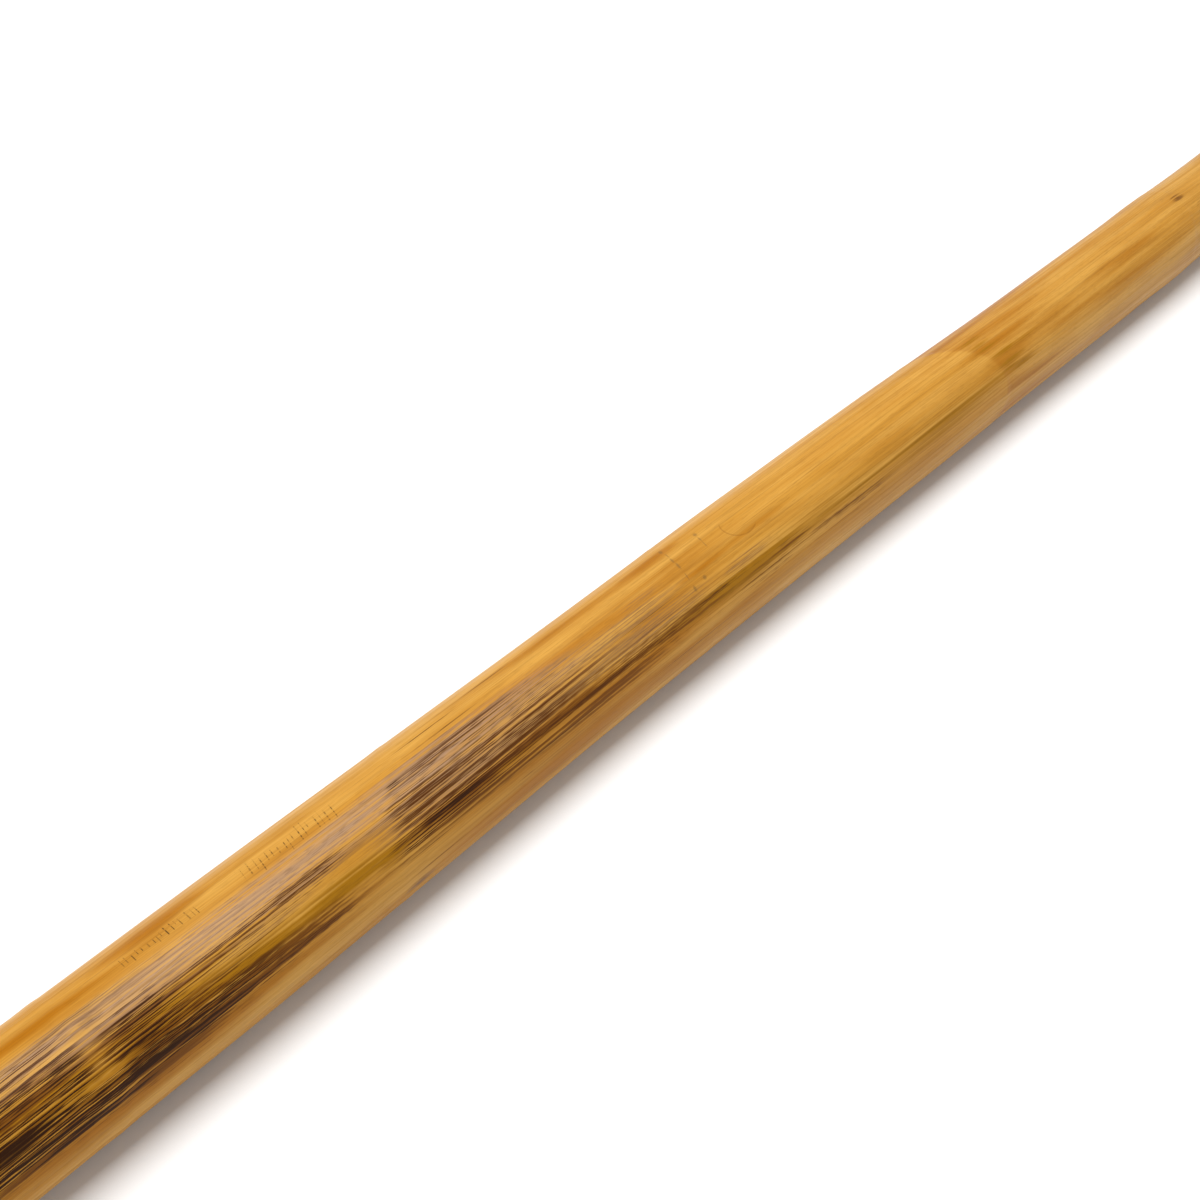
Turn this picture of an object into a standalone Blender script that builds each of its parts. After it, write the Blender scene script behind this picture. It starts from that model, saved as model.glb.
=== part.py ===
"""Rattan stick, lying on its side.

One length of rattan cane, peeled, sanded, lacquered and sawn square at both ends.
Units are metres and +Z is up. The stick lies along X on the plane Z = 0.
"""

import math
from collections import namedtuple

import bmesh
import bpy
from mathutils import Matrix

MM = 0.001

# Driving dimensions of the stick
LENGTH = 711 * MM
DIAMETER = 28.0 * MM
END_ROUNDING = 1.6 * MM

# The flats that sanding leaves on the three thickest places, which the stick lies on
FLAT_DEPTH = 0.14 * MM
RESTING_PLACES = (-300 * MM, 62 * MM, 216 * MM)

# The growth nodes. A node's ring leans: on the top of the stick it is moved along X by
# lean_top, and on the side at -Y by lean_side. Its ridge stands out from the cane.
Node = namedtuple("Node", "place lean_top lean_side ridge")
NODES = (
    Node(-292.0 * MM, 0, 0, 0.06 * MM),
    Node(-220.5 * MM, 0, 0, 0.12 * MM),
    Node(-139.5 * MM, -1.5 * MM, -11.0 * MM, 0.08 * MM),
    Node(-42.0 * MM, -2.5 * MM, -4.5 * MM, 0.04 * MM),
    Node(82.0 * MM, 4.0 * MM, 13.0 * MM, 0.08 * MM),
    Node(224.0 * MM, 2.0 * MM, -4.0 * MM, 0.06 * MM),
    Node(328.0 * MM, 0, 0, 0.06 * MM),
)
RIDGE_WIDTH = 2.4 * MM
LEAN_REACH = 42 * MM

# Where the cane is thicker or thinner: place along X, change of radius, half width
SWELLINGS = (
    (-300 * MM, 0.32 * MM, 18 * MM),
    (-230 * MM, -0.12 * MM, 30 * MM),
    (-176 * MM, 0.13 * MM, 28 * MM),
    (-80 * MM, -0.24 * MM, 36 * MM),
    (-10 * MM, 0.07 * MM, 26 * MM),
    (30 * MM, 0.13 * MM, 20 * MM),
    (62 * MM, 0.22 * MM, 22 * MM),
    (122 * MM, -0.10 * MM, 20 * MM),
    (172 * MM, 0.05 * MM, 18 * MM),
    (216 * MM, 0.32 * MM, 14 * MM),
    (262 * MM, -0.14 * MM, 24 * MM),
    (328 * MM, 0.08 * MM, 20 * MM),
)

# The cane is slightly oval, and the long way of its section turns along the stick
OVALITY = 0.004
OVAL_TURN_LENGTH = 520 * MM

# The cane is never quite straight: its middle line waves from side to side
BOW = 0.60 * MM
BOW_LENGTH = 430 * MM
BOW_CREST = -15 * MM

# How finely the surface is divided. A multiple of four sides puts a point at the very bottom.
SIDES = 48
EVEN_STATIONS = 46
NODE_STATIONS = (-7 * MM, -3 * MM, 0, 3 * MM, 7 * MM)
FLAT_STATIONS = (-5 * MM, 0, 5 * MM)
LEAST_SPACING = 2.4 * MM
EDGE_STEPS = 3
SHARP_ANGLE = math.radians(40)


def bell(distance, half_width):
    """A smooth bump, 1 in its middle, that dies away past its half width."""
    return math.exp(-((distance / half_width) ** 2))


def girth(station, turn):
    """Radius of the cane at a station along it. The turn is 0 at the top, + towards -Y."""
    radius = DIAMETER / 2
    for place, change, half_width in SWELLINGS:
        radius += change * bell(station - place, half_width)
    for node in NODES:
        radius += node.ridge * bell(station - node.place, RIDGE_WIDTH)
    long_way = math.tau * station / OVAL_TURN_LENGTH
    return radius * (1 + OVALITY * math.cos(2 * turn - long_way))


def lean(station, turn):
    """How far along X the leaning nodes carry the surface."""
    shift = 0
    for node in NODES:
        own = node.lean_top * math.cos(turn) + node.lean_side * math.sin(turn)
        shift += own * bell(station - node.place, LEAN_REACH)
    return shift


def sideways(station):
    """The Y of the cane's middle line."""
    return BOW * math.cos(math.tau * (station - BOW_CREST) / BOW_LENGTH)


def axis_height():
    """The Z of the middle line: the thickest places reach just below the plane Z = 0."""
    lowest = min(girth(place, math.pi) for place in RESTING_PLACES)
    return lowest - FLAT_DEPTH


def stations():
    """Places along X where the surface has a ring of points, closer at nodes and flats."""
    wanted = [node.place + step for node in NODES for step in NODE_STATIONS]
    wanted += [place + step for place in RESTING_PLACES for step in FLAT_STATIONS]
    spacing = LENGTH / EVEN_STATIONS
    wanted += [spacing * index - LENGTH / 2 for index in range(1, EVEN_STATIONS)]
    kept = []
    for place in wanted:
        if all(abs(place - other) >= LEAST_SPACING for other in kept):
            kept.append(place)
    return sorted(kept)


def plain_bar():
    """A round bar along X with rounded rims, cut into rings at the stations."""
    bar = bmesh.new()
    bmesh.ops.create_cone(
        bar, cap_ends=True, segments=SIDES, radius1=DIAMETER / 2, radius2=DIAMETER / 2,
        depth=LENGTH, matrix=Matrix.Rotation(math.radians(90), 4, "Y"),
    )
    bar.normal_update()
    # The edges that don't run from end to end are the two rims
    rims = [edge for edge in bar.edges if edge.verts[0].co.x * edge.verts[1].co.x > 0]
    bmesh.ops.bevel(
        bar, geom=rims, offset=END_ROUNDING, segments=EDGE_STEPS, profile=0.5, affect="EDGES",
        material=-1,
    )
    for place in stations():
        everything = bar.verts[:] + bar.edges[:] + bar.faces[:]
        bmesh.ops.bisect_plane(bar, geom=everything, plane_co=(place, 0, 0), plane_no=(1, 0, 0))
    return bar


def grow(bar):
    """Give the plain bar the cane's girth, leaning nodes, crooked line and worn flats."""
    height = axis_height()
    for vert in bar.verts:
        station, y, z = vert.co
        turn = math.atan2(-y, z)
        fullness = math.hypot(y, z) / (DIAMETER / 2)
        radius = fullness * girth(station, turn)
        vert.co.x = station + lean(station, turn)
        vert.co.y = sideways(station) - radius * math.sin(turn)
        vert.co.z = max(height + radius * math.cos(turn), 0)
    middle = (max(v.co.y for v in bar.verts) + min(v.co.y for v in bar.verts)) / 2
    bmesh.ops.translate(bar, verts=bar.verts, vec=(0, -middle, 0))


def lacquered_rattan():
    """Peeled cane under clear lacquer: honey yellow and glossy."""
    material = bpy.data.materials.new("lacquered_rattan")
    material.use_nodes = True
    shader = material.node_tree.nodes["Principled BSDF"]
    shader.inputs["Base Color"].default_value = (0.56, 0.30, 0.07, 1)
    shader.inputs["Roughness"].default_value = 0.35
    shader.inputs["Metallic"].default_value = 0
    shader.inputs["Coat Weight"].default_value = 0.6
    return material


def rattan_stick():
    """The stick: one solid piece of cane."""
    bar = plain_bar()
    grow(bar)
    bmesh.ops.recalc_face_normals(bar, faces=bar.faces)
    mesh = bpy.data.meshes.new("rattan_stick")
    bar.to_mesh(mesh)
    bar.free()
    mesh.shade_smooth()
    mesh.set_sharp_from_angle(angle=SHARP_ANGLE)
    mesh.materials.append(lacquered_rattan())
    return bpy.data.objects.new("rattan_stick", mesh)


for leftover in list(bpy.data.objects):
    bpy.data.objects.remove(leftover, do_unlink=True)

collection = bpy.data.collections.new("rattan_stick")
bpy.context.scene.collection.children.link(collection)
collection.objects.link(rattan_stick())
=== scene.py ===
import math
from collections import namedtuple

import bmesh
import bpy
import numpy as np
from mathutils import Matrix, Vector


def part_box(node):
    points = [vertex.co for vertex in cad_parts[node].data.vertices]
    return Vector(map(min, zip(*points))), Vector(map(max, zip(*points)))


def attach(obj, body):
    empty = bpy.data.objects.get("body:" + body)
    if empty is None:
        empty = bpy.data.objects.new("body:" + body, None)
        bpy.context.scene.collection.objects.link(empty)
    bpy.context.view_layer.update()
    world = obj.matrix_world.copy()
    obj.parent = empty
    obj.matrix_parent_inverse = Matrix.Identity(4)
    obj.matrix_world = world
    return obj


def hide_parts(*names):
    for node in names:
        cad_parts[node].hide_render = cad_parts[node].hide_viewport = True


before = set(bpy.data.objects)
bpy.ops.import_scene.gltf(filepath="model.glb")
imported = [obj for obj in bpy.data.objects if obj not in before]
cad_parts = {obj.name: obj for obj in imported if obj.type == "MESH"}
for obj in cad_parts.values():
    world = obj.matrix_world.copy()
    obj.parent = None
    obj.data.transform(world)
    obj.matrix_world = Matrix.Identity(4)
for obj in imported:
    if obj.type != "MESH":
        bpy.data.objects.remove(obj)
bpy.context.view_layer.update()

# The cane
# One length of rattan, the solid stem of a climbing palm. It is peeled, sanded and
# sawn off, and it lies on the three thickest places of its slightly crooked length.
MM = 0.001
DIAMETER = 28.0 * MM
END_ROUNDING = 1.6 * MM
FLAT_DEPTH = 0.14 * MM
RESTING_PLACES = (-300 * MM, 62 * MM, 216 * MM)

# A growth node's ring leans: on top it is moved along X by lean_top, at -Y by lean_side
Node = namedtuple("Node", "place lean_top lean_side ridge")
NODES = (
    Node(-292.0 * MM, 0, 0, 0.06 * MM),
    Node(-220.5 * MM, 0, 0, 0.12 * MM),
    Node(-139.5 * MM, -1.5 * MM, -11.0 * MM, 0.08 * MM),
    Node(-42.0 * MM, -2.5 * MM, -4.5 * MM, 0.04 * MM),
    Node(82.0 * MM, 4.0 * MM, 13.0 * MM, 0.08 * MM),
    Node(224.0 * MM, 2.0 * MM, -4.0 * MM, 0.06 * MM),
    Node(328.0 * MM, 0, 0, 0.06 * MM),
)
RIDGE_WIDTH = 2.4 * MM
LEAN_REACH = 42 * MM

# Where the cane is thicker or thinner: place along X, change of radius, half width
SWELLINGS = (
    (-300 * MM, 0.32 * MM, 18 * MM),
    (-230 * MM, -0.12 * MM, 30 * MM),
    (-176 * MM, 0.13 * MM, 28 * MM),
    (-80 * MM, -0.24 * MM, 36 * MM),
    (-10 * MM, 0.07 * MM, 26 * MM),
    (30 * MM, 0.13 * MM, 20 * MM),
    (62 * MM, 0.22 * MM, 22 * MM),
    (122 * MM, -0.10 * MM, 20 * MM),
    (172 * MM, 0.05 * MM, 18 * MM),
    (216 * MM, 0.32 * MM, 14 * MM),
    (262 * MM, -0.14 * MM, 24 * MM),
    (328 * MM, 0.08 * MM, 20 * MM),
)
OVALITY = 0.004
OVAL_TURN_LENGTH = 520 * MM
BOW = 0.60 * MM
BOW_LENGTH = 430 * MM
BOW_CREST = -15 * MM

# How finely the surface is divided; the rings of points are gathered at the nodes
SIDES = 160
RINGS = 540
EDGE_STEPS = 5
END_RINGS = 6
GATHERING = 0.6
GATHERING_REACH = 8 * MM

# Low relief that is too fine for the solid: a groove beside each ridge, the raised scar
# of a leaf sheath on the second node, and the shallow hollows that hand sanding leaves
GROOVE = 0.05 * MM
GROOVE_STEP = 1.9 * MM
GROOVE_WIDTH = 0.8 * MM
SCAR_NODE = NODES[1]
SCAR_FROM = -5.5 * MM
SCAR_TO = 4.0 * MM
SCAR_EDGE = 0.8 * MM
SCAR_TURNS = (9, 78)
SCAR_EDGE_TURN = 5
SCAR_HEIGHT = 0.16 * MM
BUD_TURN = 14
BUD_HALF_TURN = 9
BUD_HALF_LENGTH = 4.5 * MM
BUD_HEIGHT = 0.22 * MM
# The bud's roundness, and the depth, place and width of the trough round it, in bud sizes
BUD_ROUNDNESS = 0.8
TROUGH_DEPTH = 0.5
TROUGH_PLACE = 1.1
TROUGH_WIDTH = 0.3
SANDING = 0.03 * MM
SANDED_SIDES = 5
SANDING_STROKE = 23 * MM
SANDING_WANDER = 2.2
SANDING_WANDER_LENGTH = 31 * MM


def bell(distance, half_width):
    """A smooth bump, 1 in its middle, that dies away past its half width."""
    return np.exp(-((distance / half_width) ** 2))


def between(value, start, end, softness):
    """1 from start to end and 0 outside, with soft edges."""
    rise = 0.5 + 0.5 * np.tanh(2 * (value - start) / softness)
    fall = 0.5 + 0.5 * np.tanh(2 * (end - value) / softness)
    return rise * fall


def girth(station, turn):
    """Radius of the cane at a station along it. The turn is 0 at the top, + towards -Y."""
    radius = DIAMETER / 2
    for place, change, half_width in SWELLINGS:
        radius = radius + change * bell(station - place, half_width)
    for node in NODES:
        radius = radius + node.ridge * bell(station - node.place, RIDGE_WIDTH)
    long_way = math.tau * station / OVAL_TURN_LENGTH
    return radius * (1 + OVALITY * np.cos(2 * turn - long_way))


def relief(station, turn):
    """The low relief on the girth, in metres."""
    degrees = np.degrees(turn)
    height = 0
    for node in NODES:
        height = height - GROOVE * bell(station - node.place - GROOVE_STEP, GROOVE_WIDTH)
    past_scar = station - SCAR_NODE.place
    scar = between(past_scar, SCAR_FROM, SCAR_TO, SCAR_EDGE)
    height = height + SCAR_HEIGHT * scar * between(degrees, *SCAR_TURNS, SCAR_EDGE_TURN)
    from_bud = np.hypot(past_scar / BUD_HALF_LENGTH, (degrees - BUD_TURN) / BUD_HALF_TURN)
    trough = TROUGH_DEPTH * bell(from_bud - TROUGH_PLACE, TROUGH_WIDTH)
    height = height + BUD_HEIGHT * (bell(from_bud, BUD_ROUNDNESS) - trough)
    wander = SANDING_WANDER * np.sin(station / SANDING_WANDER_LENGTH)
    strokes = np.sin(station / SANDING_STROKE + 2 * turn)
    hollows = np.sin(SANDED_SIDES * turn + wander) * strokes
    return height + SANDING * (hollows - 1)


def lean(station, turn):
    """How far along X the leaning nodes carry the surface."""
    shift = 0
    for node in NODES:
        own = node.lean_top * np.cos(turn) + node.lean_side * np.sin(turn)
        shift = shift + own * bell(station - node.place, LEAN_REACH)
    return shift


def sideways(station):
    """The Y of the cane's middle line."""
    return BOW * np.cos(math.tau * (station - BOW_CREST) / BOW_LENGTH)


def plain_bar():
    """A round bar as long as the solid, with rounded rims and the rings of the surface."""
    low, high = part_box("rattan_stick")
    length = high.x - low.x
    bar = bmesh.new()
    bmesh.ops.create_cone(
        bar, cap_ends=True, segments=SIDES, radius1=DIAMETER / 2, radius2=DIAMETER / 2,
        depth=length, matrix=Matrix.Rotation(math.radians(90), 4, "Y"),
    )
    bar.normal_update()
    # The edges that don't run from end to end are the two rims
    rims = [edge for edge in bar.edges if edge.verts[0].co.x * edge.verts[1].co.x > 0]
    bmesh.ops.bevel(
        bar, geom=rims, offset=END_ROUNDING, segments=EDGE_STEPS, profile=0.5, affect="EDGES",
        material=-1,
    )
    full_length = [edge for edge in bar.edges if edge.verts[0].co.x * edge.verts[1].co.x < 0]
    bmesh.ops.subdivide_edges(bar, edges=full_length, cuts=RINGS, use_grid_fill=True)
    return bar


# Faces that look along the stick more than this are sawn, and past the second they are flat
SAWN_FACING = 0.55
FLAT_FACING = 0.999


def close_ends(bar):
    """Cut the two flat ends into rings and mark them as sawn, with the inner rim."""
    for end in [face for face in bar.faces if len(face.verts) == SIDES]:
        ring_width = (DIAMETER / 2 - END_ROUNDING) / (END_RINGS + 1)
        for _ in range(END_RINGS):
            bmesh.ops.inset_region(bar, faces=[end], thickness=ring_width)
        bmesh.ops.poke(bar, faces=[end])
    bar.normal_update()
    for face in bar.faces:
        face.material_index = 1 if abs(face.normal.x) > SAWN_FACING else 0
        face.smooth = abs(face.normal.x) < FLAT_FACING


# How the stains lie on the cane, with a painted sheen and painted shade among them. Sap and mildew
# darkened it along its fibres, mostly on both sides of the nodes, and the clear lacquer over them
# makes amber of the thin ones. A stain is: place along X in mm, turn in degrees, half length, half
# width, strength.
STAINS_AND_PAINTED_LIGHT = {
    "amber": (
        (-224, -8, 20, 5, 0.95), (-198, -12, 10, 9, 0.95), (-200, 0, 22, 6, 0.5),
        (-170, -3, 14, 10, 0.4), (-78, -6, 15, 1.6, 0.9), (-50, -14, 9, 7, 0.65),
        (-42, 28, 11, 2.6, 1.0), (-73, 28, 2.5, 4, 0.8), (-78, 70, 30, 12, 1.3),
        (-75, 12, 34, 26, 0.5), (-98, -14, 30, 12, 0.3), (-20, 28, 14, 6, 0.3),
        (110, 12, 20, 50, 0.55), (128, 48, 24, 12, 0.6), (104, 0, 10, 30, 0.3),
        (170, 32, 26, 8, 0.35), (150, 62, 40, 8, 0.5), (-118, 76, 34, 12, 0.75),
        (-96, 80, 50, 18, 1.0), (-118, 75, 40, 10, 1.2), (-170, 78, 26, 7, 0.8),
        (-72, 80, 20, 6, 0.6), (-60, 30, 24, 24, 0.5), (-62, 40, 22, 12, 1.0),
        (-160, 73, 18, 8, 1.0), (-208, 86, 30, 7, 1.0), (60, 35, 60, 10, 0.15),
        (-150, 268, 60, 10, 0.4), (120, 190, 60, 12, 0.5), (-60, 230, 50, 9, 0.45),
        (200, 300, 50, 9, 0.4),
    ),
    "olive": (
        (-190, 56, 16, 8, 1.1), (-163, 56, 14, 8, 1.2), (-152, 60, 6, 8, 1.1),
        (-226, 42, 14, 26, 0.8), (-205, 62, 10, 10, 0.6), (-30, 60, 26, 7, 1.4),
        (12, 62, 26, 8, 0.75), (62, 62, 30, 7, 0.8), (0, 58, 14, 8, 0.4), (-120, 64, 20, 7, 0.6),
        (-13, 63, 8, 3, 1.2), (-210, 44, 26, 20, 0.95), (-238, 45, 16, 26, 1.0),
        (94.5, 3.5, 4, 1.8, 1.0), (94.5, 14.5, 4.5, 1.8, 1.0), (96, 23, 4.5, 1.9, 1.2),
        (101.5, 37, 5.5, 2.2, 1.25), (112, 38, 7, 1.8, 0.8), (101.5, 50, 5.5, 2.0, 1.2),
        (99, 56, 4, 1.5, 0.95), (106, 61, 6, 2.2, 1.3),
    ),
    "lilac_and_sheen": (
        # The first six lilac patches, along the top from the second node to past the third, are
        # partly a stain and partly a painted sheen; the rest are stains.
        (-226, 15, 12, 7, 0.9), (-208, 23, 24, 11, 1.05), (-184, 22, 26, 11, 0.95),
        (-158, 20, 16, 9, 0.85), (-132, 22, 18, 14, 1.0), (-112, 24, 20, 13, 0.7),
        (-126, 46, 18, 7, 0.9), (-132, 290, 18, 10, 0.8), (-300, 40, 16, 14, 0.7),
        (-216, 160, 26, 12, 0.9), (-118, 212, 24, 12, 0.9), (96, 236, 20, 9, 0.8),
        (240, 196, 22, 12, 0.8), (338, 120, 12, 14, 0.8),
    ),
    "mauve_and_shade": (
        # The spots at -223, -228 and -217.5, on the edges of the raised bud on the second node, are
        # painted shade; the rest are stains.
        (-219, 31, 14, 6, 0.25), (-160, 34, 14, 5, 0.75), (-223, 7, 8, 1.8, 1.0),
        (-228, 15, 2.2, 4, 0.8), (-217.5, 17, 1.8, 6, 0.8), (-112, 21, 22, 10, 0.6),
        (-132, 39, 16, 11, 1.0), (-112, 45, 28, 9, 0.75), (-94, 42, 26, 10, 0.65),
        (-134, 31, 12, 5, 0.5), (-150, 39, 6, 9, 0.55), (-214, 11, 9, 4, 0.35),
        (-68, 45, 18, 8, 0.75), (-182, 42, 10, 4, 0.45), (-62, 16, 7, 3.5, 0.25),
        (-27, 46, 9, 4, 0.35), (-84, 28, 24, 8, 0.65), (-146, 104, 3, 3, 1.3),
        (-130, 292, 15, 6, 0.8), (-139, 18, 5, 6, 0.5), (-210, 158, 20, 6, 0.7),
        (-122, 214, 18, 6, 0.8), (236, 200, 20, 6, 0.7), (334, 118, 14, 7, 0.7),
        (-302, 44, 14, 8, 0.6),
    ),
    "brown": (
        (-243, 60, 16, 16, 0.95), (-240, 34, 14, 12, 0.65), (-210, 62, 14, 12, 1.0),
        (-212, 44, 10, 12, 0.75), (-186, 66, 24, 5, 1.1), (-130, 61, 18, 8, 1.35),
        (-100, 52, 34, 6, 0.75), (-100, 36, 20, 6, 0.35), (-100, 60, 40, 5, 1.1),
        (-120, 67, 26, 5, 0.8), (-70, 57, 16, 6, 0.5), (-12, 62, 7, 3, 0.8), (-200, 71, 38, 6, 1.3),
        (-211, 80, 14, 6, 1.5), (-205, 42, 14, 6, 0.5), (-84, 66, 24, 8, 0.75),
        (-58, 62, 16, 8, 0.7), (-20, 70, 14, 8, 0.5), (226, 11, 3, 6, 0.6), (10, 71, 18, 7, 0.5),
        (100, 296, 16, 5, 0.9), (-128, 298, 16, 5, 0.95), (-300, 250, 14, 7, 0.8),
        (-234, 78, 16, 6, 1.2), (-296, 58, 16, 8, 0.9), (-204, 176, 20, 8, 0.8),
        (-126, 228, 18, 7, 1.0), (90, 250, 16, 6, 0.8), (238, 214, 18, 7, 0.9),
        (246, 40, 14, 6, 0.7), (336, 66, 12, 8, 0.7),
    ),
    "umber": (
        (-243, 42, 14, 26, 0.75), (-228, 45, 6, 26, 0.6), (-212, 48, 9, 19, 0.75),
        (-200, 60, 16, 9, 0.6), (-206, 72, 34, 4.5, 1.1), (-196, 38, 20, 6, 0.28),
        (-172, 33, 28, 4, 0.5), (-207, 30, 14, 6, 0.18), (-133, 58, 20, 8, 0.8),
        (-138, 42, 9, 15, 0.55), (-98, 59, 34, 2.2, 0.8), (-36, 55, 14, 2.2, 0.45),
        (-146, 30, 4, 3, 0.6), (-112, 40, 20, 16, 0.32), (-124, 18, 16, 8, 0.35),
        (-235, 18, 12, 8, 0.5), (-296, 52, 14, 12, 0.6), (-128, 294, 16, 12, 0.65),
        (100, 290, 15, 10, 0.55), (-298, 244, 12, 12, 0.55), (-208, 168, 20, 14, 0.6),
        (-124, 222, 18, 14, 0.65), (92, 244, 16, 12, 0.6), (238, 208, 18, 12, 0.65),
        (246, 46, 14, 10, 0.5), (336, 74, 12, 14, 0.55),
    ),
    "soot": (
        (-240, 58, 12, 10, 1.2), (-236, 70, 12, 5, 0.9), (-243, 30, 10, 14, 0.45),
        (-216, 65, 9, 7, 1.0), (-226, 77, 10, 5, 1.05), (-227, 40, 4, 18, 0.35),
        (-212, 62, 8, 10, 0.72), (-202, 66, 13, 5, 0.75), (-212, 70, 18, 5, 1.15),
        (-211, 44, 7, 14, 0.5), (-134, 59, 10, 5, 0.45), (-144, 65, 4, 2.0, 0.6),
        (-142, 14, 1.6, 2.4, 0.45), (-123, 224, 8, 5, 0.6), (237, 211, 8, 4, 0.6),
        (-294, 60, 8, 4, 0.6),
    ),
}
# The pale raised scar keeps the dark stains off: place, turn, half length, half width
PALE_PLACES = ((-220.3, 46, 3.6, 34),)
PALE_STRENGTH = 0.52
# The dark stains of the third node stop sharply at its ring
RING_NODE = NODES[2]
RING_REACH = 16 * MM
RING_EDGE = 4.5 * MM
RING_TURNS = (6, 116)
RING_EDGE_TURN = 4
RING_STRENGTH = 0.7
STOPPED_STAINS = ("mauve_and_shade", "brown", "umber", "soot")
# Past the ring of the fifth node the cane is a little browner
BROWNER_NODE = NODES[4]
BROWNER_LENGTH = 55 * MM
BROWNER_EDGE = 1.5 * MM
BROWNER_STRENGTH = 0.62


def paint(places, degrees, stains):
    """How strong a kind of stain is at each point of the surface, painted sheen and painted shade
    included.
    """
    amount = np.zeros_like(places)
    for place, turn, half_length, half_width, strength in stains:
        around = (degrees - turn + 180) % 360 - 180
        spot = strength * bell(places - place * MM, half_length * MM) * bell(around, half_width)
        amount = np.maximum(amount, spot)
    return amount


def keep(mesh, name, values, kind="FLOAT", field="value"):
    """Keep values for the material as an attribute of the mesh's points."""
    layer = mesh.attributes.new(name, kind, "POINT")
    layer.data.foreach_set(field, np.ascontiguousarray(values, dtype=np.float32).ravel())


def grow(mesh):
    """Give the plain bar the cane's shape, and keep what the skin's material reads."""
    bar = np.empty(len(mesh.vertices) * 3, dtype=np.float32)
    mesh.vertices.foreach_get("co", bar)
    bar = bar.reshape(-1, 3).astype(float)
    station, y, z = bar.T
    for node in NODES:
        ahead = station - node.place
        station = station - GATHERING * ahead * bell(ahead, GATHERING_REACH)
    turn = np.arctan2(-y, z)
    fullness = np.hypot(y, z) / (DIAMETER / 2)
    radius = fullness * (girth(station, turn) + relief(station, turn))
    height = min(girth(place, math.pi) for place in RESTING_PLACES) - FLAT_DEPTH
    x = station + lean(station, turn)
    points = np.stack([
        x, sideways(station) - radius * np.sin(turn),
        np.maximum(height + radius * np.cos(turn), 0),
    ], axis=1)
    points[:, 1] -= (points[:, 1].max() + points[:, 1].min()) / 2
    mesh.vertices.foreach_set("co", points.astype(np.float32).ravel())
    keep(mesh, "cane", np.stack([station, y, z], axis=1), "FLOAT_VECTOR", "vector")
    degrees = np.degrees(turn)
    pale = paint(x, degrees, [(*place, 1) for place in PALE_PLACES])
    before = between(station - RING_NODE.place, -RING_REACH, 0, RING_EDGE)
    stopped = RING_STRENGTH * before * between(degrees, *RING_TURNS, RING_EDGE_TURN)
    past = station - BROWNER_NODE.place
    browner = BROWNER_STRENGTH * between(past, 0, 3 * BROWNER_LENGTH, BROWNER_EDGE)
    browner = browner * bell(past, BROWNER_LENGTH) * (0.5 + 0.5 * np.cos(turn))
    for name, stains in STAINS_AND_PAINTED_LIGHT.items():
        amount = paint(x, degrees, stains) * (1 - PALE_STRENGTH * pale)
        if name in STOPPED_STAINS:
            amount = amount * (1 - stopped)
        if name == "amber":
            amount = np.maximum(amount, browner)
        keep(mesh, name, amount)


# Where things lie in the flat layout: the two strips of skin, and the two round ends
STRIP_START = 0.01
STRIP_LENGTH = 0.98
STRIP_HEIGHT = 0.42
STRIP_ROWS = (0.005, 0.435)
END_RADIUS = 0.062
END_PLACES = ((0.07, 0.93), (0.22, 0.93))


def unroll(mesh):
    """Lay the skin out flat as two strips, with the two sawn ends beside them."""
    low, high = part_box("rattan_stick")
    half = (high.x - low.x) / 2
    layer = mesh.uv_layers.new(name="OFBake")
    along_scale = STRIP_LENGTH / (half + END_ROUNDING)
    end_scale = END_RADIUS / (DIAMETER / 2)
    cane = mesh.attributes["cane"].data
    for face in mesh.polygons:
        corners = [cane[index].vector for index in face.vertices]
        middle_x = sum(corner[0] for corner in corners) / len(corners)
        half_index = int(middle_x > 0)
        reference = math.atan2(
            -sum(corner[1] for corner in corners), sum(corner[2] for corner in corners)
        )
        for loop_index, (station, y, z) in zip(face.loop_indices, corners):
            if face.material_index:
                u = END_PLACES[half_index][0] + y * end_scale
                v = END_PLACES[half_index][1] + z * end_scale
            else:
                turn = reference + math.remainder(math.atan2(-y, z) - reference, math.tau)
                worn = DIAMETER / 2 - math.hypot(y, z)
                reach = abs(station) + worn if half_index else half - abs(station) - worn
                u = STRIP_START + reach * along_scale
                v = STRIP_ROWS[half_index] + (turn / math.tau + 0.5) * STRIP_HEIGHT
            layer.data[loop_index].uv = (u, v)


def add_node(tree, kind, inputs=None, **settings):
    """A node of that kind, with its settings, and each input's value or link."""
    node = tree.nodes.new(kind)
    for name, value in settings.items():
        setattr(node, name, value)
    for name, value in (inputs or {}).items():
        if isinstance(value, bpy.types.NodeSocket):
            tree.links.new(value, node.inputs[name])
        else:
            node.inputs[name].default_value = value
    return node


def math_of(tree, operation, *values):
    """The result of a Math node."""
    node = add_node(tree, "ShaderNodeMath", dict(enumerate(values)), operation=operation)
    return node.outputs[0]


def ramp_of(tree, value, start, end, low=0.0, high=1.0):
    """A value smoothly mapped from start..end to low..high."""
    inputs = {"Value": value, "From Min": start, "From Max": end, "To Min": low, "To Max": high}
    node = add_node(tree, "ShaderNodeMapRange", inputs, interpolation_type="SMOOTHSTEP")
    return node.outputs["Result"]


def mix_of(tree, amount, under, over):
    """One colour laid over another by an amount."""
    node = add_node(tree, "ShaderNodeMix", {0: amount}, data_type="RGBA")
    for index, colour in ((6, under), (7, over)):
        if isinstance(colour, bpy.types.NodeSocket):
            tree.links.new(colour, node.inputs[index])
        else:
            node.inputs[index].default_value = (*colour, 1)
    return node.outputs[2]


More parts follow.
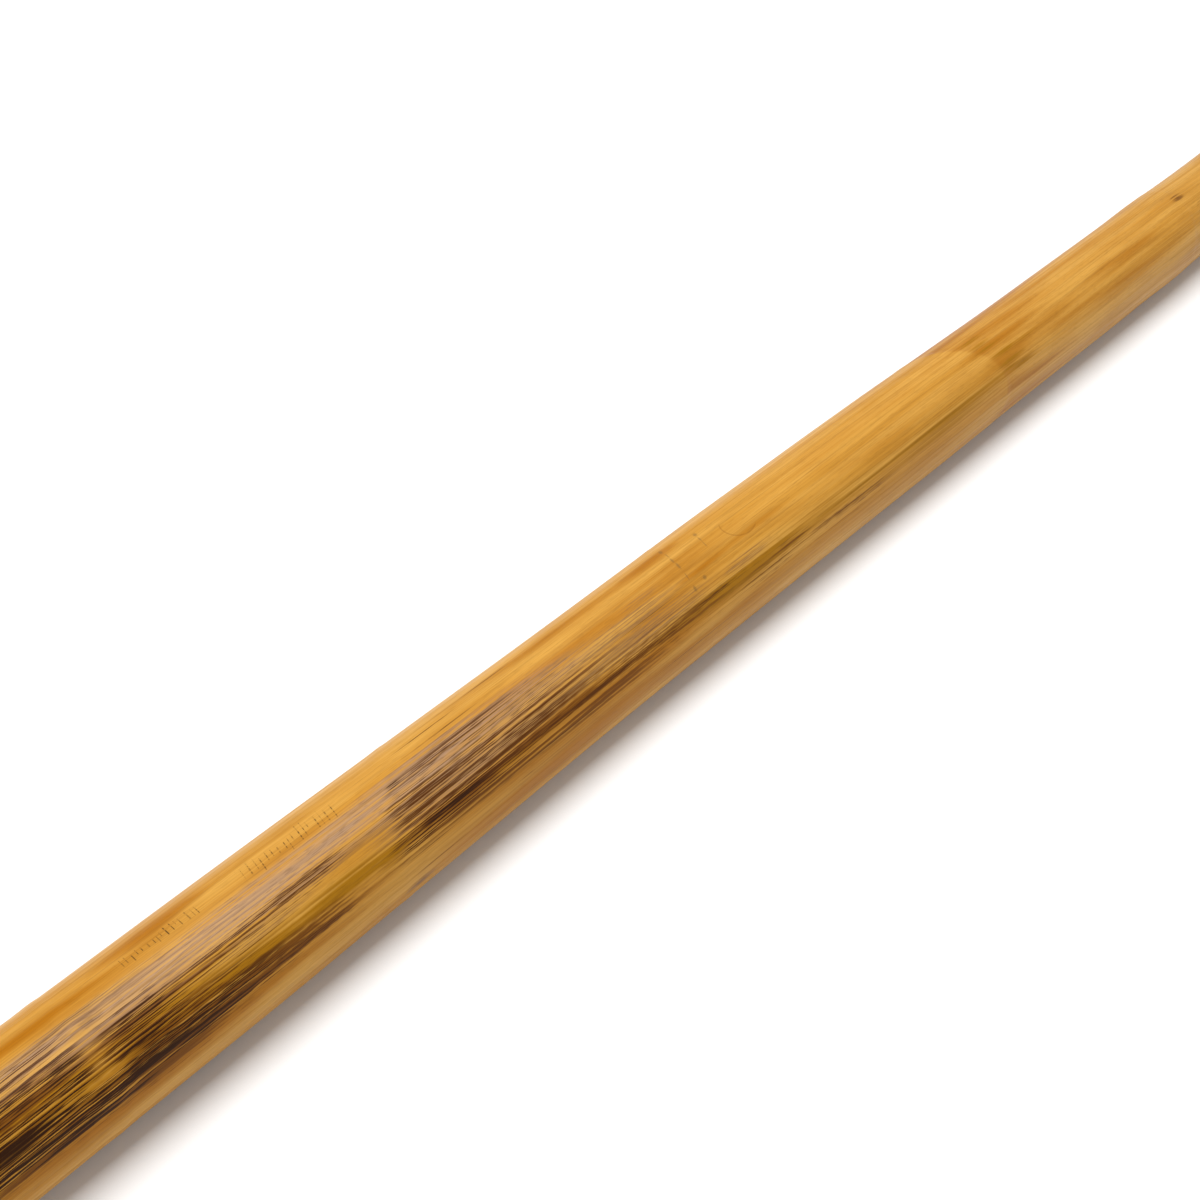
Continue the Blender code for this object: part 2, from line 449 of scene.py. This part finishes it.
def new_group(name, inputs, outputs):
    """An empty node group with its inputs and outputs named, and its two end nodes."""
    group = bpy.data.node_groups.new(name, "ShaderNodeTree")
    for socket, kind in inputs:
        group.interface.new_socket(socket, in_out="INPUT", socket_type=kind)
    for socket, kind in outputs:
        group.interface.new_socket(socket, in_out="OUTPUT", socket_type=kind)
    given = group.nodes.new("NodeGroupInput").outputs
    return group, given, group.nodes.new("NodeGroupOutput").inputs


def use_group(tree, group, **inputs):
    """A node group placed in a tree. Returns its outputs."""
    node = tree.nodes.new("ShaderNodeGroup")
    node.node_tree = group
    for name, value in inputs.items():
        if isinstance(value, bpy.types.NodeSocket):
            tree.links.new(value, node.inputs[name])
        else:
            node.inputs[name].default_value = value
    return node.outputs


# The fibres wander sideways by up to this much, and this scale sets how often
FIBRE_BEND = 1.6 * MM
FIBRE_BEND_SCALE = 9.0
# The levels of the noise that become 0 and 1
FIBRE_LEVELS = (0.32, 0.68)


def fibres_group():
    """Cane fibres: noise drawn out along the stem, wandering a little sideways."""
    group, given, result = new_group(
        "cane_fibres",
        [
            ("Cane", "NodeSocketVector"), ("Length", "NodeSocketFloat"),
            ("Width", "NodeSocketFloat"), ("Detail", "NodeSocketFloat"),
        ],
        [("Amount", "NodeSocketFloat")],
    )
    bend = add_node(
        group, "ShaderNodeTexNoise",
        {"Vector": given["Cane"], "Scale": FIBRE_BEND_SCALE, "Detail": 0.0},
    )
    bent = add_node(
        group, "ShaderNodeVectorMath", {0: bend.outputs["Color"], "Scale": FIBRE_BEND},
        operation="SCALE",
    )
    place = add_node(
        group, "ShaderNodeVectorMath", {0: given["Cane"], 1: bent.outputs[0]}, operation="ADD"
    )
    size = add_node(
        group, "ShaderNodeCombineXYZ",
        {"X": given["Length"], "Y": given["Width"], "Z": given["Width"]},
    )
    drawn = add_node(
        group, "ShaderNodeVectorMath", {0: place.outputs[0], 1: size.outputs[0]}, operation="DIVIDE"
    )
    noise = add_node(
        group, "ShaderNodeTexNoise",
        {"Vector": drawn.outputs[0], "Scale": 1.0, "Detail": given["Detail"], "Roughness": 0.5},
    )
    spread = add_node(
        group, "ShaderNodeMapRange",
        {
            "Value": noise.outputs["Fac"], "From Min": FIBRE_LEVELS[0],
            "From Max": FIBRE_LEVELS[1],
        },
    )
    group.links.new(spread.outputs["Result"], result["Amount"])
    return group


# Under this strength a stain fades out altogether
FAINT_STAIN = 0.2


def streaks_group():
    """A stain that covers more of the fibres the stronger it is, 1 being all of them."""
    group, given, result = new_group(
        "soaked_streaks",
        [
            ("Stain", "NodeSocketFloat"), ("Fibres", "NodeSocketFloat"),
            ("Softness", "NodeSocketFloat"),
        ],
        [("Amount", "NodeSocketFloat")],
    )
    together = math_of(group, "ADD", given["Fibres"], given["Stain"])
    level = math_of(group, "SUBTRACT", together, 1.0)
    lowest = math_of(group, "MULTIPLY", given["Softness"], -1.0)
    soaked = ramp_of(group, level, lowest, given["Softness"])
    stained = ramp_of(group, given["Stain"], 0.0, FAINT_STAIN)
    group.links.new(math_of(group, "MULTIPLY", soaked, stained), result["Amount"])
    return group


# A mark is full up to this share of its size, and fades out from there
MARK_CORE = 0.3


def mark_group():
    """A small drawn-out mark with soft edges, such as a dark fibre or a dot on a ring."""
    group, given, result = new_group(
        "small_mark",
        [
            ("Place", "NodeSocketVector"), ("Centre", "NodeSocketVector"),
            ("Size", "NodeSocketVector"),
        ],
        [("Amount", "NodeSocketFloat")],
    )
    ahead = add_node(
        group, "ShaderNodeVectorMath", {0: given["Place"], 1: given["Centre"]}, operation="SUBTRACT"
    )
    share = add_node(
        group, "ShaderNodeVectorMath", {0: ahead.outputs[0], 1: given["Size"]}, operation="DIVIDE"
    )
    distance = add_node(group, "ShaderNodeVectorMath", {0: share.outputs[0]}, operation="LENGTH")
    amount = ramp_of(group, distance.outputs["Value"], MARK_CORE, 1.0, 1.0, 0.0)
    group.links.new(amount, result["Amount"])
    return group


# In a row of scratches the spacing varies by so many mm, as fast as the scale says
SCRATCH_UNEVENNESS = 1.6
SCRATCH_UNEVENNESS_SCALE = 0.31
# A scratch fades out from the first to the second of these shares of the spacing
SCRATCH_HALF_WIDTH = (0.03, 0.12)
# Chance picks its length and its shift, as shares of the row's half width, and its strength
SCRATCH_LENGTHS = (0.35, 0.8)
SCRATCH_SHIFT = 0.7
SCRATCH_STRENGTHS = (0.5, 1.0)
# Its tips and the ends of the row fade out from these shares of their lengths
SCRATCH_TIP = 0.75
COMB_END = 0.92


def comb_group():
    """A row of short scratches across the cane, each a little longer or fainter."""
    group, given, result = new_group(
        "comb_of_scratches",
        [
            ("Place", "NodeSocketVector"), ("Centre", "NodeSocketVector"),
            ("Size", "NodeSocketVector"), ("Pitch", "NodeSocketFloat"), ("Slant", "NodeSocketFloat"),
        ],
        [("Amount", "NodeSocketFloat")],
    )
    ahead = add_node(
        group, "ShaderNodeVectorMath", {0: given["Place"], 1: given["Centre"]}, operation="SUBTRACT"
    )
    apart = add_node(group, "ShaderNodeSeparateXYZ", {0: ahead.outputs[0]})
    size = add_node(group, "ShaderNodeSeparateXYZ", {0: given["Size"]})
    slanted = math_of(group, "MULTIPLY_ADD", apart.outputs["Y"], given["Slant"], apart.outputs["X"])
    uneven = add_node(
        group, "ShaderNodeTexNoise",
        {"W": slanted, "Scale": SCRATCH_UNEVENNESS_SCALE, "Detail": 0.0}, noise_dimensions="1D",
    )
    shifted = math_of(group, "MULTIPLY_ADD", uneven.outputs["Fac"], SCRATCH_UNEVENNESS, slanted)
    count = math_of(group, "DIVIDE", shifted, given["Pitch"])
    number = math_of(group, "FLOOR", count)
    chance = add_node(group, "ShaderNodeTexWhiteNoise", {"W": number}, noise_dimensions="1D")
    tint = add_node(group, "ShaderNodeSeparateColor", {0: chance.outputs["Color"]})
    past = math_of(group, "SUBTRACT", count, number)
    from_middle = math_of(group, "ABSOLUTE", math_of(group, "SUBTRACT", past, 0.5))
    line = ramp_of(group, from_middle, *SCRATCH_HALF_WIDTH, 1.0, 0.0)
    length = ramp_of(group, chance.outputs["Value"], 0.0, 1.0, *SCRATCH_LENGTHS)
    reach = math_of(group, "MULTIPLY", length, size.outputs["Y"])
    to_side = math_of(group, "SUBTRACT", tint.outputs["Green"], 0.5)
    step = math_of(group, "MULTIPLY", to_side, size.outputs["Y"])
    middle = math_of(group, "MULTIPLY_ADD", step, SCRATCH_SHIFT, apart.outputs["Y"])
    beyond = math_of(group, "DIVIDE", math_of(group, "ABSOLUTE", middle), reach)
    within = ramp_of(group, beyond, SCRATCH_TIP, 1.0, 1.0, 0.0)
    from_centre = math_of(group, "ABSOLUTE", apart.outputs["X"])
    along = math_of(group, "DIVIDE", from_centre, size.outputs["X"])
    inside = ramp_of(group, along, COMB_END, 1.0, 1.0, 0.0)
    strength = ramp_of(group, tint.outputs["Blue"], 0.0, 1.0, *SCRATCH_STRENGTHS)
    within = math_of(group, "MULTIPLY", within, strength)
    amount = math_of(group, "MULTIPLY", math_of(group, "MULTIPLY", line, within), inside)
    group.links.new(amount, result["Amount"])
    return group


fibres = fibres_group()
streaks = streaks_group()
mark = mark_group()
comb = comb_group()

# Colours of the skin, from the clean honey cane to the darkest stain
HONEY = (0.508, 0.264, 0.048)
DEEP_HONEY = (0.440, 0.207, 0.027)
STAIN_COLOURS = {
    "amber": (0.305, 0.105, 0.002),
    "olive": (0.270, 0.115, 0.003),
    "lilac_and_sheen": (0.340, 0.205, 0.115),
    "mauve_and_shade": (0.185, 0.098, 0.046),
    "brown": (0.135, 0.044, 0.004),
    "umber": (0.068, 0.020, 0.003),
    "soot": (0.015, 0.005, 0.003),
}
STAIN_SOFTNESS = {
    "amber": 0.80, "olive": 0.70, "lilac_and_sheen": 1.00, "mauve_and_shade": 1.20, "brown": 0.66, "umber": 0.42,
    "soot": 0.30,
}
# The fibres that each kind of stain follows
STAIN_FIBRES = {
    "amber": "coarse", "olive": "medium", "lilac_and_sheen": "wide", "mauve_and_shade": "thin", "brown": "wide",
    "umber": "thin", "soot": "thin",
}
STAIN_COVER = 0.95
# The fibres run in bundles, evenly spaced round the cane but for a small shift
BUNDLES = 190
BUNDLE_SHIFT = 0.04
BUNDLE_DEPTH = 0.30
# The grains of the fibres: name, length and width in mm, and how broken up they are
GRAINS = (
    ("pores", 3.2, 0.28, 0.0), ("hair", 34, 0.26, 0.0), ("fine", 70, 0.44, 0.5),
    ("lines", 90, 0.34, 0.0), ("medium", 95, 0.72, 1.0), ("coarse", 90, 3.8, 1.5),
    ("mottle", 20, 5.5, 1.0),
)
# How much of the pores and of the fine grain is mixed into the fibres that stains follow
PORES_SHARE = 0.34
FINE_SHARE = 0.25
# The levels of a mix of grains that count as none and all of it
COARSE_LEVELS = (0.2, 0.9)
THIN_LEVELS = (0.28, 1.36)
WIDE_LEVELS = (0.5, 1.86)
# Clean cane is clouded with amber: grain, strength
CLOUDS = (("mottle", 0.14), ("medium", 0.18))
CLOUD_LEVELS = (0.4, 0.9)
# Dark fibres show everywhere: grain, level they start at, strength where clean and where the lilac
# mask, a dusty stain with a painted sheen over part of it, is as strong as the level below
SHADES = (
    ("fine", 0.4, 0.08, 0.16), ("hair", 0.4, 0.08, 0.16), ("pores", 0.72, 0.10, 0.24),
    ("lines", 0.72, 0.13, 0.28),
)
DUST_AND_SHEEN_FULL = 0.8
# A mark is worn by the fibres under it: two levels of their grain, its strength at each
FIBRE_WEAR = (0.1, 0.5, 0.2, 0.8)
SCRATCH_WEAR = (0.3, 0.6, 0.25, 0.95)
# Single dark fibres: place along X in mm, turn in degrees, half length, half width
DARK_FIBRES = (
    (-126, -12, 13, 1.0), (-124, -1, 15, 1.0), (-141, 75, 10, 0.6), (-140, 92, 10, 0.6),
    (-105, -20, 10, 0.8), (-113, 60, 30, 0.7), (-100, 71.5, 20, 0.8), (-105, 83, 18, 0.8),
    (-64, 34, 16, 0.35), (-55, 89, 30, 0.5),
    (-190, 33, 26, 0.6), (-182, 36, 24, 0.6), (-178, 41, 20, 0.6), (-188, 44, 22, 0.5),
    (-172, 31, 16, 0.5), (-186, 47, 14, 0.5), (-100, 21, 14, 0.5), (-112, 12, 10, 0.5),
    (-96, 34, 16, 0.5), (-104, 51, 22, 0.6),
)
GREY_MARK = (0.130, 0.072, 0.022)
CROSS_STRENGTH = 0.52
# Dots and short lines across the cane: station along the growth in mm, turn, half sizes
CROSS_MARKS = (
    (-42.2, -16, 0.80, 4.6), (-42.0, -6, 0.25, 5.0), (-42.2, 3, 0.45, 5.5), (-42.0, 12, 0.55, 6.0),
    (-42.0, 26, 0.22, 6.0), (-42.0, 40, 0.65, 4.6), (-37.6, 37, 0.85, 3.2),
    (-31.0, -6, 0.85, 3.6), (-31.2, 2, 0.30, 5.0), (-31.3, 10, 0.20, 6.0),
)
SCRATCH = (0.050, 0.022, 0.006)
SCRATCH_DEPTH = 0.5
# The two rows of scratches: centre along X and around, half sizes, spacing, slant
COMBS = (
    ((-198, -5), (9.5, 7.5), 1.15, 0.03),
    ((-166, -4), (12.5, 13.0), 1.40, 0.08),
)
# A thumbnail has pressed a curved crease into the top. It is one side of a ring.
CREASE_CENTRE = (-21.5, 12, 0)
CREASE_SIZE = (5.6, 16, 1)
CREASE_WIDTH = 0.07
CREASE_FADE = 0.5
CREASE_STRENGTH = 0.34
CREASE_DEPTH = 0.6
# The fibres stand out under the lacquer, least where the cane is clean
CLEAN_DEPTH = 0.3
STAINED_DEPTH = 0.7
BUMP_STRENGTH = 0.9
BUMP_HEIGHT = 0.035 * MM
ROUGHNESS = (0.36, 0.48)
GLOSS = 0.08
GLOSS_TINT = (1.0, 0.70, 0.36)
COAT = 0.06
COAT_ROUGHNESS = 0.25


def most_of(tree, amounts):
    """The strongest of several masks."""
    total = amounts[0]
    for amount in amounts[1:]:
        total = math_of(tree, "MAXIMUM", total, amount)
    return total


def marks_of(tree, place, marks):
    """The strongest of a list of small marks at each place."""
    amounts = []
    for x, around, length, width in marks:
        node = use_group(tree, mark, Place=place, Centre=(x, around, 0), Size=(length, width, 1))
        amounts.append(node["Amount"])
    return most_of(tree, amounts)


def crease_of(tree, place):
    """The lower left part of a thin ring, as the camera sees it."""
    ahead = add_node(tree, "ShaderNodeVectorMath", {0: place, 1: CREASE_CENTRE}, operation="SUBTRACT")
    share = add_node(
        tree, "ShaderNodeVectorMath", {0: ahead.outputs[0], 1: CREASE_SIZE}, operation="DIVIDE"
    ).outputs[0]
    ring = add_node(tree, "ShaderNodeVectorMath", {0: share}, operation="LENGTH").outputs["Value"]
    off_ring = math_of(tree, "ABSOLUTE", math_of(tree, "SUBTRACT", ring, 1.0))
    line = ramp_of(tree, off_ring, 0.0, CREASE_WIDTH, 1.0, 0.0)
    part = add_node(tree, "ShaderNodeSeparateXYZ", {0: share})
    lower_left = math_of(tree, "SUBTRACT", part.outputs["Y"], part.outputs["X"])
    return math_of(tree, "MULTIPLY", line, ramp_of(tree, lower_left, 0.0, CREASE_FADE))


def lacquered_rattan():
    """Peeled cane under clear lacquer: honey yellow, fibrous, stained and half glossy, with a sheen
    and some shade painted into its colour.
    """
    material = bpy.data.materials.new("lacquered_rattan")
    material.use_nodes = True
    tree = material.node_tree
    shader = tree.nodes["Principled BSDF"]
    cane = add_node(tree, "ShaderNodeAttribute", attribute_name="cane").outputs["Vector"]
    grown = add_node(tree, "ShaderNodeSeparateXYZ", {0: cane})
    near = math_of(tree, "MULTIPLY", grown.outputs["Y"], -1.0)
    turn = math_of(tree, "ARCTAN2", near, grown.outputs["Z"])
    degrees = math_of(tree, "DEGREES", turn)
    real = add_node(tree, "ShaderNodeTexCoord").outputs["Object"]
    real_x = add_node(tree, "ShaderNodeSeparateXYZ", {0: real}).outputs["X"]
    along = math_of(tree, "DIVIDE", real_x, MM)
    station = math_of(tree, "DIVIDE", grown.outputs["X"], MM)
    by_place = add_node(tree, "ShaderNodeCombineXYZ", {"X": along, "Y": degrees}).outputs[0]
    by_growth = add_node(tree, "ShaderNodeCombineXYZ", {"X": station, "Y": degrees}).outputs[0]

    grains = {}
    for name, length, width, detail in GRAINS:
        grains[name] = use_group(
            tree, fibres, Cane=cane, Length=length * MM, Width=width * MM, Detail=detail
        )["Amount"]
    fine, medium, pores = (grains[name] for name in ("fine", "medium", "pores"))

    clouded = ramp_of(tree, grains["coarse"], *COARSE_LEVELS)
    colour = mix_of(tree, clouded, HONEY, DEEP_HONEY)
    for name, strength in CLOUDS:
        cloud = ramp_of(tree, grains[name], *CLOUD_LEVELS)
        darker = math_of(tree, "MULTIPLY", cloud, strength)
        colour = mix_of(tree, darker, colour, STAIN_COLOURS["amber"])

    shaken = math_of(tree, "MULTIPLY_ADD", medium, BUNDLE_SHIFT, turn)
    wave = math_of(tree, "SINE", math_of(tree, "MULTIPLY", shaken, BUNDLES))
    softened = math_of(tree, "MULTIPLY", fine, FINE_SHARE)
    broken = math_of(tree, "MULTIPLY_ADD", pores, PORES_SHARE, softened)
    frayed = math_of(tree, "ADD", broken, grains["hair"])
    bundled = math_of(tree, "MULTIPLY_ADD", wave, BUNDLE_DEPTH, frayed)
    grains["thin"] = ramp_of(tree, bundled, *THIN_LEVELS)
    both = math_of(tree, "ADD", fine, medium)
    clumped = math_of(tree, "MULTIPLY_ADD", pores, PORES_SHARE, both)
    grains["wide"] = ramp_of(tree, clumped, *WIDE_LEVELS)
    amounts = {}
    # The lilac mask paints a sheen as well as a stain, and the mauve mask also paints shade beside
    # the raised bud.
    for name, stain_colour in STAIN_COLOURS.items():
        stain = add_node(tree, "ShaderNodeAttribute", attribute_name=name).outputs["Fac"]
        amounts[name] = use_group(
            tree, streaks, Stain=stain, Fibres=grains[STAIN_FIBRES[name]],
            Softness=STAIN_SOFTNESS[name],
        )["Amount"]
        cover = math_of(tree, "MULTIPLY", amounts[name], STAIN_COVER)
        colour = mix_of(tree, cover, colour, stain_colour)
    for name, start, clean, dusty_and_sheen in SHADES:
        strength = ramp_of(tree, amounts["lilac_and_sheen"], 0.0, DUST_AND_SHEEN_FULL, clean, dusty_and_sheen)
        darker = math_of(tree, "MULTIPLY", ramp_of(tree, grains[name], start, 1.0), strength)
        colour = mix_of(tree, darker, colour, STAIN_COLOURS["umber"])

    line = marks_of(tree, by_place, DARK_FIBRES)
    line = math_of(tree, "MULTIPLY", line, ramp_of(tree, grains["wide"], *FIBRE_WEAR))
    colour = mix_of(tree, line, colour, STAIN_COLOURS["umber"])
    crossing = marks_of(tree, by_growth, CROSS_MARKS)
    crossing = math_of(tree, "MULTIPLY", crossing, CROSS_STRENGTH)
    colour = mix_of(tree, crossing, colour, GREY_MARK)

    rows = [
        use_group(
            tree, comb, Place=by_place, Centre=(*centre, 0), Size=(*size, 1), Pitch=pitch,
            Slant=slant,
        )["Amount"]
        for centre, size, pitch, slant in COMBS
    ]
    worn = ramp_of(tree, fine, *SCRATCH_WEAR)
    scratch = math_of(tree, "MULTIPLY", most_of(tree, rows), worn)
    colour = mix_of(tree, scratch, colour, SCRATCH)
    crease = crease_of(tree, by_place)
    pressed = math_of(tree, "MULTIPLY", crease, CREASE_STRENGTH)
    colour = mix_of(tree, pressed, colour, STAIN_COLOURS["brown"])
    tree.links.new(colour, shader.inputs["Base Color"])

    ridged = math_of(tree, "MAXIMUM", amounts["umber"], amounts["mauve_and_shade"])
    depth = math_of(tree, "MULTIPLY_ADD", ridged, STAINED_DEPTH, CLEAN_DEPTH)
    height = math_of(tree, "MULTIPLY", fine, depth)
    for cut, cut_depth in ((scratch, SCRATCH_DEPTH), (crease, CREASE_DEPTH)):
        height = math_of(tree, "SUBTRACT", height, math_of(tree, "MULTIPLY", cut, cut_depth))
    bump = add_node(
        tree, "ShaderNodeBump",
        {"Strength": BUMP_STRENGTH, "Distance": BUMP_HEIGHT, "Height": height},
    )
    tree.links.new(bump.outputs["Normal"], shader.inputs["Normal"])
    tree.links.new(ramp_of(tree, medium, 0.0, 1.0, *ROUGHNESS), shader.inputs["Roughness"])
    shader.inputs["Specular IOR Level"].default_value = GLOSS
    shader.inputs["Specular Tint"].default_value = (*GLOSS_TINT, 1)
    shader.inputs["Coat Weight"].default_value = COAT
    shader.inputs["Coat Roughness"].default_value = COAT_ROUGHNESS
    return material


# Where the saw cut through: pale pith with the open ends of the sap vessels, close
# together near the skin, under a thin coat of the same lacquer.
PITH = (0.50, 0.315, 0.130)
RIM_PITH = (0.33, 0.175, 0.055)
VESSEL = (0.070, 0.032, 0.012)
VESSEL_SPACING = 1.05 * MM
RIM_VESSEL_SPACING = 0.6 * MM
VESSEL_SCATTER = 0.75
VESSEL_EDGE = (0.16, 0.30)
VESSEL_COVER = 0.85
# The dark band under the skin, as shares of the radius
RIM_BAND = (0.62, 0.92)
PITH_CLOUD_SCALE = 160.0
PITH_CLOUD_LEVELS = (0.35, 0.7)
PITH_CLOUDING = 0.4
# The saw left a mark every so often. A wave texture has this many radians to a unit.
SAW_PITCH = 8.168 * MM
WAVE_RADIANS = 20
SAW_WANDER = 1.5
SAW_DEPTH = 0.3
SAWN_BUMP = 0.8
SAWN_BUMP_HEIGHT = 0.08 * MM
SAWN_ROUGHNESS = 0.5
SAWN_COAT = 0.25
SAWN_COAT_ROUGHNESS = 0.3


def sawn_rattan():
    """The sawn end: vessels as dark dots in pale pith, and faint saw marks."""
    material = bpy.data.materials.new("sawn_rattan")
    material.use_nodes = True
    tree = material.node_tree
    shader = tree.nodes["Principled BSDF"]
    cane = add_node(tree, "ShaderNodeAttribute", attribute_name="cane").outputs["Vector"]
    part = add_node(tree, "ShaderNodeSeparateXYZ", {0: cane})
    across = add_node(
        tree, "ShaderNodeCombineXYZ", {"X": part.outputs["Y"], "Y": part.outputs["Z"]}
    )
    from_middle = add_node(tree, "ShaderNodeVectorMath", {0: across.outputs[0]}, operation="LENGTH")
    out = math_of(tree, "DIVIDE", from_middle.outputs["Value"], DIAMETER / 2)
    near_rim = ramp_of(tree, out, *RIM_BAND)
    dots = []
    for spacing in (VESSEL_SPACING, RIM_VESSEL_SPACING):
        cells = add_node(
            tree, "ShaderNodeTexVoronoi",
            {"Vector": across.outputs[0], "Scale": 1 / spacing, "Randomness": VESSEL_SCATTER},
            voronoi_dimensions="2D",
        )
        dots.append(ramp_of(tree, cells.outputs["Distance"], *VESSEL_EDGE, 1.0, 0.0))
    inner = math_of(tree, "MULTIPLY", dots[0], math_of(tree, "SUBTRACT", 1.0, near_rim))
    outer = math_of(tree, "MULTIPLY", dots[1], near_rim)
    vessels = math_of(tree, "MAXIMUM", inner, outer)
    cloud = add_node(
        tree, "ShaderNodeTexNoise",
        {"Vector": across.outputs[0], "Scale": PITH_CLOUD_SCALE, "Detail": 3.0},
    )
    colour = mix_of(tree, near_rim, PITH, RIM_PITH)
    clouded = ramp_of(tree, cloud.outputs["Fac"], *PITH_CLOUD_LEVELS)
    colour = mix_of(tree, math_of(tree, "MULTIPLY", clouded, PITH_CLOUDING), colour, RIM_PITH)
    colour = mix_of(tree, math_of(tree, "MULTIPLY", vessels, VESSEL_COVER), colour, VESSEL)
    tree.links.new(colour, shader.inputs["Base Color"])
    saw = add_node(
        tree, "ShaderNodeTexWave",
        {
            "Vector": across.outputs[0], "Scale": math.tau / SAW_PITCH / WAVE_RADIANS,
            "Distortion": SAW_WANDER, "Detail": 2.0,
        },
    )
    sawn = math_of(tree, "MULTIPLY", saw.outputs["Fac"], SAW_DEPTH)
    bump = add_node(
        tree, "ShaderNodeBump",
        {
            "Strength": SAWN_BUMP, "Distance": SAWN_BUMP_HEIGHT,
            "Height": math_of(tree, "SUBTRACT", sawn, vessels),
        },
    )
    tree.links.new(bump.outputs["Normal"], shader.inputs["Normal"])
    shader.inputs["Roughness"].default_value = SAWN_ROUGHNESS
    shader.inputs["Coat Weight"].default_value = SAWN_COAT
    shader.inputs["Coat Roughness"].default_value = SAWN_COAT_ROUGHNESS
    return material


def rattan_stick():
    """The whole stick: one piece of cane."""
    bar = plain_bar()
    close_ends(bar)
    bmesh.ops.recalc_face_normals(bar, faces=bar.faces)
    mesh = bpy.data.meshes.new("rattan_stick_cane")
    bar.to_mesh(mesh)
    bar.free()
    mesh.materials.append(lacquered_rattan())
    mesh.materials.append(sawn_rattan())
    grow(mesh)
    unroll(mesh)
    stick = bpy.data.objects.new("rattan_stick_cane", mesh)
    bpy.context.collection.objects.link(stick)
    return stick


stick = rattan_stick()
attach(stick, "root")
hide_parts("rattan_stick")

# The floor
# A seamless white sweep of card, far wider than the stick, which reflects light back onto its flanks.
# It has a faint painted glow all over, which lightens the shadow, and a stronger glow far off, so
# that it meets the white behind.
FLOOR_SIZE = 24.0
FLOOR_DROP = 0.2 * MM
FLOOR_COLOUR = (0.72, 0.72, 0.72)
FLOOR_ROUGHNESS = 0.9
FLOOR_GLOSS = 0.1
GLOW_REACH = (0.3, 1.3)
GLOW = 0.72
NEAR_GLOW = 0.075

sheet = bmesh.new()
bmesh.ops.create_grid(sheet, x_segments=1, y_segments=1, size=FLOOR_SIZE / 2)
bmesh.ops.translate(sheet, verts=sheet.verts, vec=(0, 0, -FLOOR_DROP))
floor_mesh = bpy.data.meshes.new("floor")
sheet.to_mesh(floor_mesh)
sheet.free()
floor_material = bpy.data.materials.new("white_card")
floor_material.use_nodes = True
card = floor_material.node_tree.nodes["Principled BSDF"]
card.inputs["Base Color"].default_value = (*FLOOR_COLOUR, 1)
card.inputs["Roughness"].default_value = FLOOR_ROUGHNESS
card.inputs["Specular IOR Level"].default_value = FLOOR_GLOSS
floor_tree = floor_material.node_tree
floor_place = add_node(floor_tree, "ShaderNodeTexCoord").outputs["Object"]
far_off = add_node(floor_tree, "ShaderNodeVectorMath", {0: floor_place}, operation="LENGTH")
glow = ramp_of(floor_tree, far_off.outputs["Value"], *GLOW_REACH, NEAR_GLOW, GLOW)
floor_tree.links.new(glow, card.inputs["Emission Strength"])
card.inputs["Emission Color"].default_value = (1, 1, 1, 1)
floor_mesh.materials.append(floor_material)
floor = bpy.data.objects.new("floor", floor_mesh)
bpy.context.collection.objects.link(floor)

# The light
# One large soft box hangs over the stick, a little behind it, and a pale studio all
# round fills the shadows.
SOFT_BOX_SIZE = (1.55, 1.0)
SOFT_BOX_PLACE = (-0.12, 0.11, 1.2)
SOFT_BOX_POWER = 26
STUDIO_BRIGHTNESS = 0.45

soft_box = bpy.data.lights.new("soft_box", "AREA")
soft_box.shape = "RECTANGLE"
soft_box.size = SOFT_BOX_SIZE[0]
soft_box.size_y = SOFT_BOX_SIZE[1]
soft_box.energy = SOFT_BOX_POWER
soft_box_object = bpy.data.objects.new("soft_box", soft_box)
soft_box_object.location = SOFT_BOX_PLACE
bpy.context.collection.objects.link(soft_box_object)

studio = bpy.data.worlds.new("studio")
studio.use_nodes = True
studio_tree = studio.node_tree
fill = studio_tree.nodes["Background"]
fill.inputs["Color"].default_value = (1, 1, 1, 1)
fill.inputs["Strength"].default_value = STUDIO_BRIGHTNESS
white = add_node(studio_tree, "ShaderNodeBackground", {"Color": (1, 1, 1, 1), "Strength": 1.0})
seen = add_node(studio_tree, "ShaderNodeLightPath").outputs["Is Camera Ray"]
either = add_node(
    studio_tree, "ShaderNodeMixShader", {0: seen, 1: fill.outputs[0], 2: white.outputs[0]}
)
studio_tree.links.new(either.outputs[0], studio_tree.nodes["World Output"].inputs["Surface"])
bpy.context.scene.world = studio
bpy.context.scene.view_settings.view_transform = "Standard"

# The camera
# It stands in front of the stick's left end and looks down along it, so that both ends
# lie outside the picture.
CAMERA_PLACE = (-0.3250, -0.2030, 0.2673)
CAMERA_HEADING = 38.72
CAMERA_DIP = 35.95
CAMERA_LENS = 54.0
CAMERA_SENSOR = 36.0
CAMERA_CLIP = 0.01

camera = bpy.data.cameras.new("camera")
camera.sensor_width = CAMERA_SENSOR
camera.lens = CAMERA_LENS
camera.clip_start = CAMERA_CLIP
camera_object = bpy.data.objects.new("camera", camera)
camera_object.location = CAMERA_PLACE
camera_object.rotation_euler = (
    math.radians(90 - CAMERA_DIP), 0, math.radians(CAMERA_HEADING - 90),
)
bpy.context.collection.objects.link(camera_object)
bpy.context.scene.camera = camera_object
